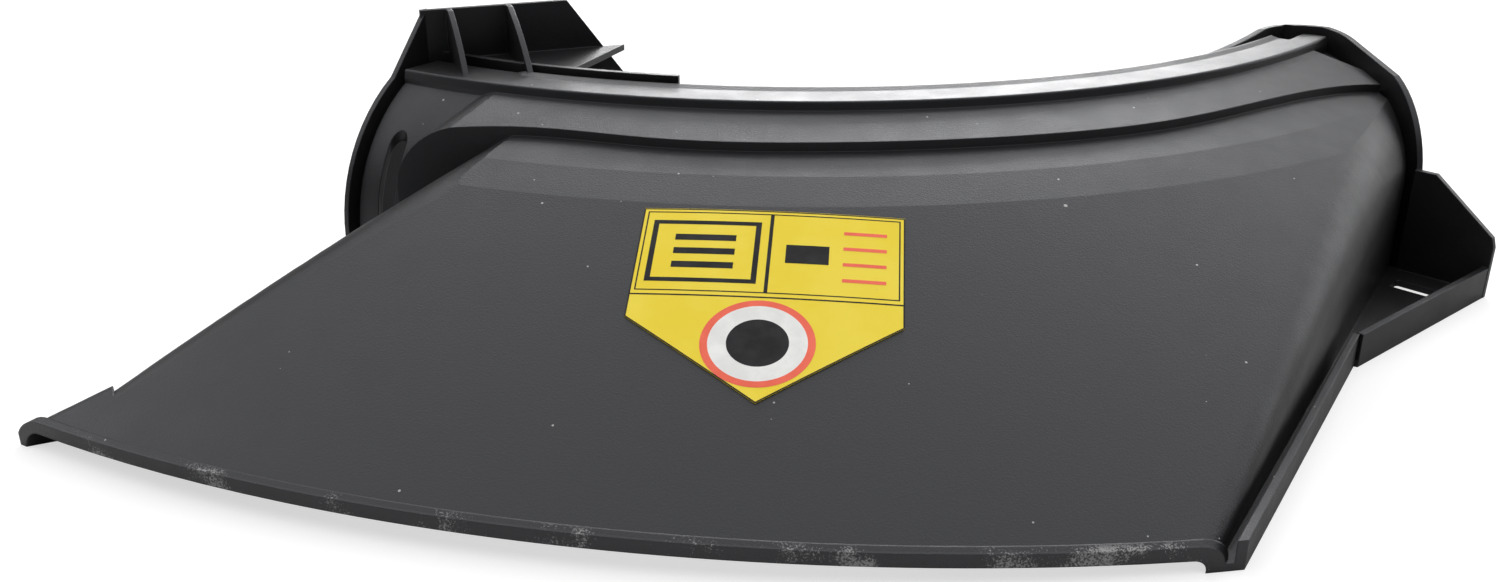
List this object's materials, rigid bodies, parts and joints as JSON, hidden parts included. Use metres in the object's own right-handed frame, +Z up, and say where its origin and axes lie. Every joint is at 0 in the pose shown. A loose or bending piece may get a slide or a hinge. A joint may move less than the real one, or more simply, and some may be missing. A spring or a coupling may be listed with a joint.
{
  "type": "mower discharge deflector",
  "caption": "thin-walled moulded side-discharge chute with stepped curved flange, arched ends, fixing ears with slots and a plain five-sided decal on its sloping panel",
  "frame": {"origin": "middle of the bounding box on the plane that the foot rests on", "axes": "+Z up, the discharge mouth faces -Y, the mouth's chord and the longest extent lie along X"},
  "size_m": [0.492, 0.3436, 0.1037],
  "materials": {
    "black_plastic": "satin black with a fine moulded grain, scuffed along the mouth",
    "decal_print": "printed vinyl, satin yellow"
  },
  "bodies": {
    "root": {"deflector": "black_plastic", "decal": "decal_print"}
  },
  "joints": []
}
